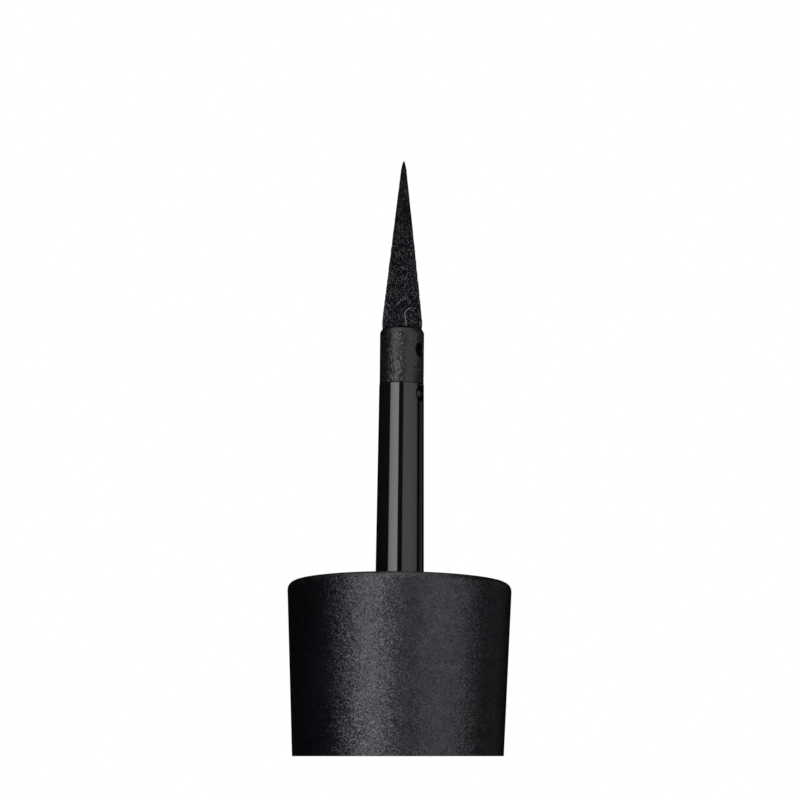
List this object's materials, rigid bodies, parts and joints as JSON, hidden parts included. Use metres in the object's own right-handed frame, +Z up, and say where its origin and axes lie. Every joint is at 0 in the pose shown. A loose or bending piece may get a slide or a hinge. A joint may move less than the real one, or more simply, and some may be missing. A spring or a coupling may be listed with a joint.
{
  "type": "liquid eyeliner bottle",
  "caption": "Screw-neck ink bottle with a wiper, beside its tapered cap, which stands closed end down and carries a stem, a ferrule and a cone of felt.",
  "frame": {"origin": "on the surface that both halves stand on, midway between the cap-applicator's axis at X = -0.023 m and the bottle's axis at X = +0.023 m", "axes": "+Z up, along both axes; +X from the cap-applicator towards the bottle; -Y towards the viewer of the picture"},
  "size_m": [0.063, 0.017, 0.0844],
  "materials": {
    "matte_shell": "matte, finely grained",
    "black_liner": "satin",
    "seal_rubber": "matte",
    "gloss_stem": "glossy",
    "satin_ferrule": "satin, slightly hazy",
    "black_felt": "pressed felt with loose fibres",
    "inked_vial": "smooth, stained by ink",
    "wiper_plastic": "soft and smooth",
    "ball_steel": "polished"
  },
  "bodies": {
    "bottle": {"bottle_casing": "matte_shell", "base_plug": "black_liner", "ink_vial": "inked_vial", "wiper": "wiper_plastic"},
    "applicator": {"cap_shell": "matte_shell", "inner_cap": "black_liner", "seal_ring": "seal_rubber", "stem": "gloss_stem", "nib_ferrule": "satin_ferrule", "felt_nib": "black_felt", "feed_wick": "black_felt"},
    "ball_left": {"agitator_ball_left": "ball_steel"},
    "ball_right": {"agitator_ball_right": "ball_steel"}
  },
  "joints": [
    {"name": "applicator_lift", "type": "slide", "parent": "bottle", "child": "applicator", "axis": [0, 0, 1], "range_m": [0, 0.06]},
    {"name": "ball_left_slide", "type": "slide", "parent": "bottle", "child": "ball_left", "axis": [0, 0, 1], "range_m": [0, 0.0276]},
    {"name": "ball_right_slide", "type": "slide", "parent": "bottle", "child": "ball_right", "axis": [0, 0, 1], "range_m": [0, 0.0276]}
  ]
}
